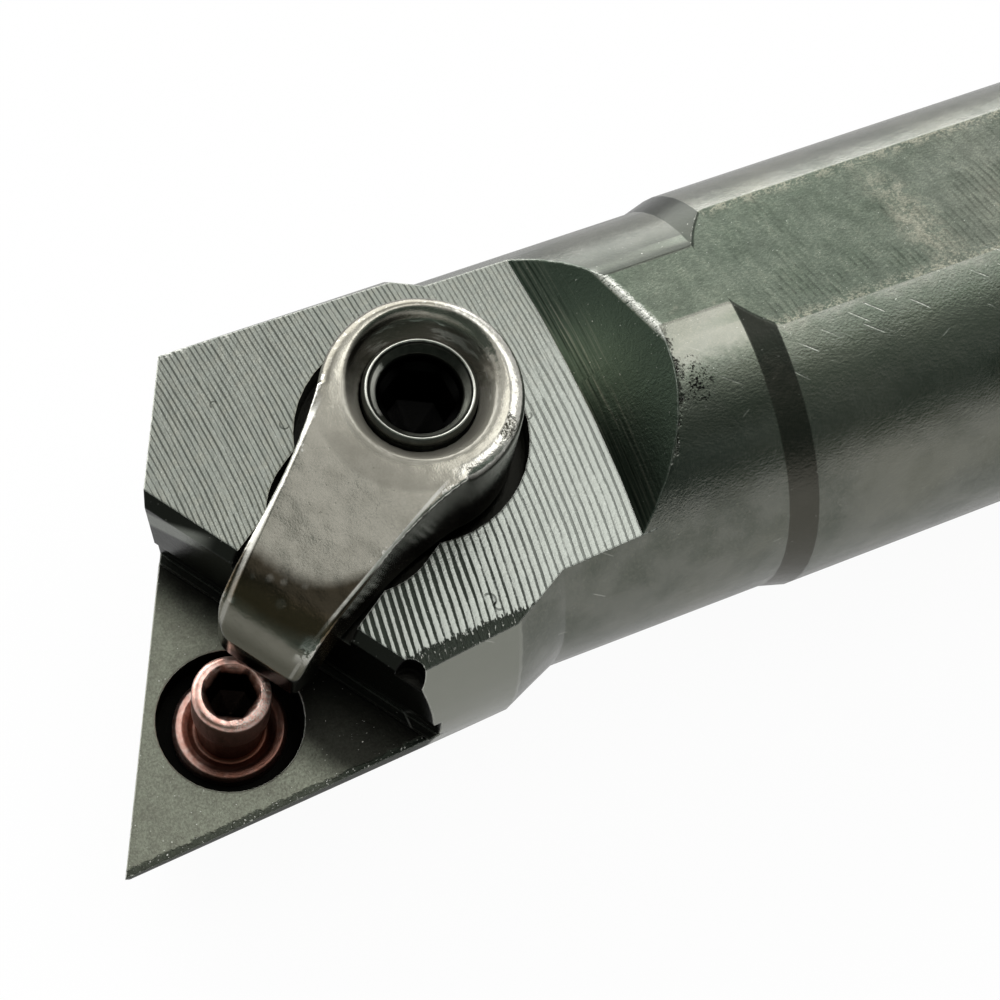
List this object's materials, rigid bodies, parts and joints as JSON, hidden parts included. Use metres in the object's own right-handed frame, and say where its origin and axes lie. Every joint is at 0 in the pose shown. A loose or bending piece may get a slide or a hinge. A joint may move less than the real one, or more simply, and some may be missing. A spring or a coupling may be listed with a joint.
{
  "type": "boring bar",
  "caption": "Round-shank internal turning bar with shank flats and an angled milled head: insert pocket with a locating pin, and a finger clamp on its screw. Insert not fitted.",
  "frame": {"origin": "centre of the shank's flat rear face, on the bar's axis", "axes": "+X along the bar axis to the head, +Y to the cutting side, +Z out of the shank's top flat"},
  "size_m": [0.1995, 0.0214, 0.0222],
  "materials": {
    "body_steel": "black oxide with a green cast, satin, bare and scratched on worn edges and the milled face",
    "clamp_steel": "brownish grey satin, worn bright round the rim",
    "screw_steel": "black oxide, oiled, with a bright worn ring",
    "pin_copper": "thin copper plating, satin"
  },
  "bodies": {
    "bar": {"bar_body": "body_steel"},
    "clamp": {"clamp": "clamp_steel"},
    "clamp_screw": {"clamp_screw": "screw_steel"},
    "locating_pin": {"locating_pin": "pin_copper"}
  },
  "joints": [
    {"name": "screw_turn", "type": "hinge", "parent": "bar", "child": "clamp_screw", "pos_m": [0.18073, 0.00044, 0.00567], "axis": [0.0506, 0.2315, 0.9715], "range_deg": [0, 900]},
    {"name": "clamp_lift", "type": "slide", "parent": "bar", "child": "clamp", "axis": [0.0506, 0.2315, 0.9715], "range_m": [0, 0.005]},
    {"name": "pin_turn", "type": "hinge", "parent": "bar", "child": "locating_pin", "pos_m": [0.19267, 0.00774, 0.00331], "axis": [0.0506, 0.2315, 0.9715], "range_deg": [0, 360]}
  ],
  "couplings": [
    {"joint": "screw_turn", "follows": "clamp_lift", "rad_per_m": 3141.6}
  ]
}
